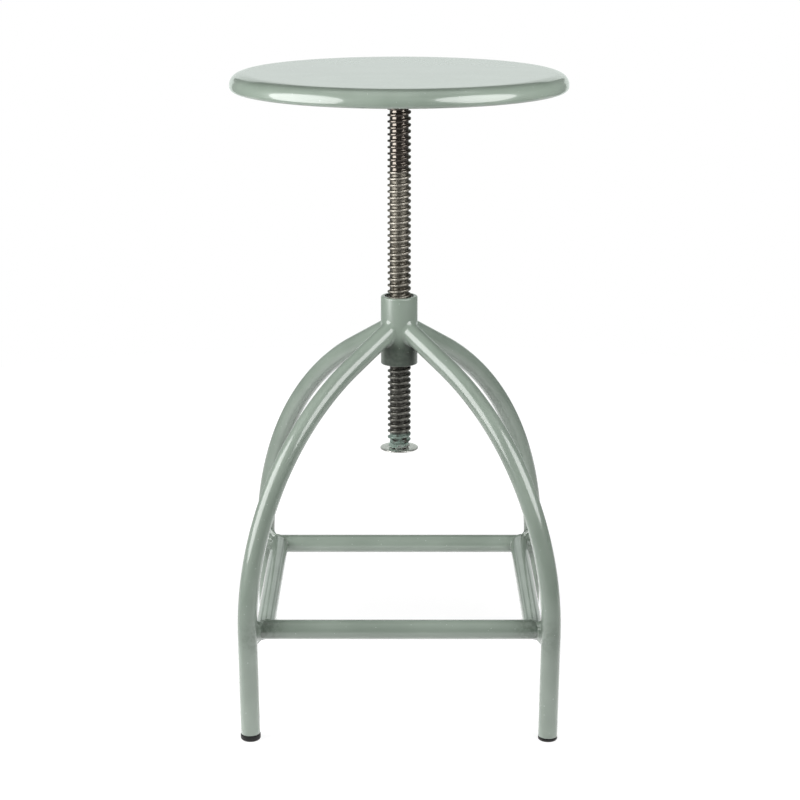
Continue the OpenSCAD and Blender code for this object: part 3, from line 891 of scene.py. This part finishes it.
def seat(paint):
    """The pressed seat: a flat top, a wide shoulder, a tighter corner and a hem turned in."""
    top = SEAT_HIGH.z
    low = SEAT_LOW.z
    slope = math.radians(SHOULDER_SLOPE)
    corner_r = SEAT_R - CORNER_R
    corner_z = top - SHOULDER_R + (SHOULDER_R - CORNER_R) * math.cos(slope)
    shoulder_r = corner_r - (SHOULDER_R - CORNER_R) * math.sin(slope)
    hem_r = SEAT_R - HEM_R
    hem_z = low + HEM_R
    bend = 90 - SHOULDER_SLOPE
    spread = [0.003, 0.03, 0.06, 0.09, 0.12, 0.14, 0.15]

    def sheet_side(depth):
        """Outline of the edge from the flat top to the hem, at a depth in the sheet."""
        line = arc(shoulder_r, top - SHOULDER_R, SHOULDER_R - depth, 90, bend, 10)
        line += arc(corner_r, corner_z, CORNER_R - depth, bend, 0, 20)[1:]
        line += arc(hem_r, hem_z, HEM_R - depth, 0, -90, 12)
        return line

    profile = [(r, top) for r in spread] + sheet_side(0)
    profile += [(hem_r - HEM_W, low), (hem_r - HEM_W, low + SEAT_SHEET)]
    profile += list(reversed(sheet_side(SEAT_SHEET)))
    profile += [(r, top - SEAT_SHEET) for r in reversed(spread)]
    piece("seat_shell", turned(profile, 256), "seat", paint, ["seat_pan"])


def repaint(materials):
    """Gives the frame's own nodes that still show their finish."""
    for node, material in materials.items():
        mesh = frame["nodes"][node].data
        mesh.materials.clear()
        mesh.materials.append(material)


def camera():
    """The photograph's view: 2.14 m in front of the stool, 0.88 m high, looking slightly down."""
    down = 14.725
    made = bpy.data.objects.new("camera", bpy.data.cameras.new("camera"))
    made.data.sensor_width = 36
    made.data.lens = 94.33
    made.data.shift_x = 0.001
    made.location = (0, -2.1424, 0.8822)
    made.rotation_euler = (math.radians(90 - down), 0, 0)
    bpy.context.scene.collection.objects.link(made)
    bpy.context.scene.camera = made


def softbox(name, turn, distance, height, width, tall, power, tilt=90):
    """A soft lamp that faces the spindle, or the floor at a tilt of 0. turn is its direction, from
    the front to the right, and height is that of its middle."""
    light = bpy.data.lights.new(name, "AREA")
    light.shape = "ELLIPSE"
    light.size = width
    light.size_y = tall
    light.energy = power
    made = bpy.data.objects.new(name, light)
    angle = math.radians(turn)
    made.location = (distance * math.sin(angle), -distance * math.cos(angle), height)
    made.rotation_euler = (math.radians(tilt), 0, angle)
    made.visible_camera = False
    bpy.context.scene.collection.objects.link(made)


def world():
    """White for the camera, but pale grey towards the front, so that the seat stands out in views
    from behind. What lights the stool is a pale panel behind it, about 31 degrees wide, 22 high
    and wider near the floor, with dim sides. Above and in front of it the room is dark."""
    made = bpy.data.worlds.new("studio")
    bpy.context.scene.world = made
    tree = Tree(made)
    camera_ray = tree.light_path("Is Camera Ray")
    way = tree.add("ShaderNodeTexCoord", out="Generated")
    up = tree.along("Z", way)
    back = tree.along("Y", way)
    aside = abs(tree.along("X", way))
    # Heights and widths here are sines of angles: 0.38 is 22 degrees
    low = 1 - up.step(0.10, 0.18)
    outside = low * aside.step(0.42, 0.48) + (1 - low) * aside.step(0.25, 0.28)
    panel = 0.88 * back.step(0, 0.1) * (1 - outside) * (1 - up.step(0.36, 0.40))
    room = 0.15 * back.step(-0.4, 0.2) * outside * (1 - up.step(0.40, 0.45))
    front = (0 - back).step(0.1, 0.5) * up.step(-0.24, -0.12)
    strength = (panel + room) * (1 - camera_ray) + camera_ray * (1 - 0.25 * front)
    tint = tree.mix(camera_ray, (0.93, 1, 0.96, 1), (1, 1, 1, 1))
    background = tree.add("ShaderNodeBackground", None, {"Color": tint, "Strength": strength})
    tree.add("ShaderNodeOutputWorld", None, {"Surface": background})


def floor():
    """A round white floor that keeps the stool's shadow and shows as white elsewhere. Only its
    middle throws light back at the stool, as the sheet that such a stool is photographed on."""
    radius = 1.6
    build = bmesh.new()
    bmesh.ops.create_circle(build, cap_ends=True, segments=ROUND, radius=radius)
    mesh = bpy.data.meshes.new("floor")
    build.to_mesh(mesh)
    build.free()
    material = bpy.data.materials.new("floor")
    tree = Tree(material)
    camera_ray = tree.light_path("Is Camera Ray")
    glossy_ray = tree.light_path("Is Glossy Ray")
    place = tree.place()
    reach = tree.reach(place)
    behind = tree.along("Y", place).step(0.3, 0.6)
    bounced = tree.mix(reach.step(0.32, 0.55), (0.89, 0.89, 0.89, 1), (0.05, 0.05, 0.05, 1))
    pale = tree.mix(camera_ray, bounced, (0.25, 0.25, 0.25, 1))
    matt = tree.add("ShaderNodeBsdfDiffuse", None, {"Color": pale})
    shown = camera_ray * (0.86 + 0.14 * reach.step(0.40, 0.80))
    in_gloss = behind.math("MAXIMUM", behind, 1 - reach.step(0.8, 1.3))
    strength = shown + 0.8 * glossy_ray * in_gloss
    glow = tree.add("ShaderNodeEmission", None, {"Color": (1, 1, 1, 1), "Strength": strength})
    both = tree.add("ShaderNodeAddShader", None, {0: matt, 1: glow})
    tree.add("ShaderNodeOutputMaterial", None, {"Surface": both})
    mesh.materials.append(material)
    made = bpy.data.objects.new("floor", mesh)
    bpy.context.scene.collection.objects.link(made)


seat_paint = sage_paint(
    "seat_paint", base_roughness=0.26, coat_roughness=0.05, grain_depth=0.000004)
hub_paint = sage_paint(
    "hub_paint", base_roughness=0.38, coat_roughness=0.26, grain_depth=0.000011)
frame_paint = sage_paint(
    "frame_paint", base_roughness=0.34, coat_roughness=0.10, grain_depth=0.000011)
screw_steel = thread_steel()
bright_steel = bright_zinc()
plain_steel = dark_steel()
cap_plastic = black_plastic()

camera()
world()
floor()
softbox("softbox_left", turn=-62, distance=0.95, height=0.80, width=1.00, tall=1.10, power=17.5)
softbox("softbox_right", turn=51, distance=0.95, height=1.00, width=1.05, tall=1.00, power=15.5)
softbox("softbox_above", turn=0, distance=0, height=2.16, width=1.6, tall=1.6, power=3.8, tilt=0)

seat(seat_paint)
spindle(screw_steel)
lock_nut(bright_steel)
stop_washer(bright_steel)
stop_bolt(bright_steel)
seat_bolts(bright_steel)
plate_weld(plain_steel)
hub(hub_paint)
hub_welds(frame_paint)
stretcher_welds(frame_paint)
for side in LEG_TURNS:
    leg(side, frame_paint)
    foot(side, cap_plastic)
for name in STRETCHER_TURNS:
    stretcher(name, frame_paint)
repaint({
    "thread_bush": plain_steel,
    "mounting_plate": plain_steel,
    "cross_brace": frame_paint,
    "seat_washers": bright_steel,
    "weld_nuts": bright_steel,
})

bpy.context.scene.view_settings.view_transform = "Standard"
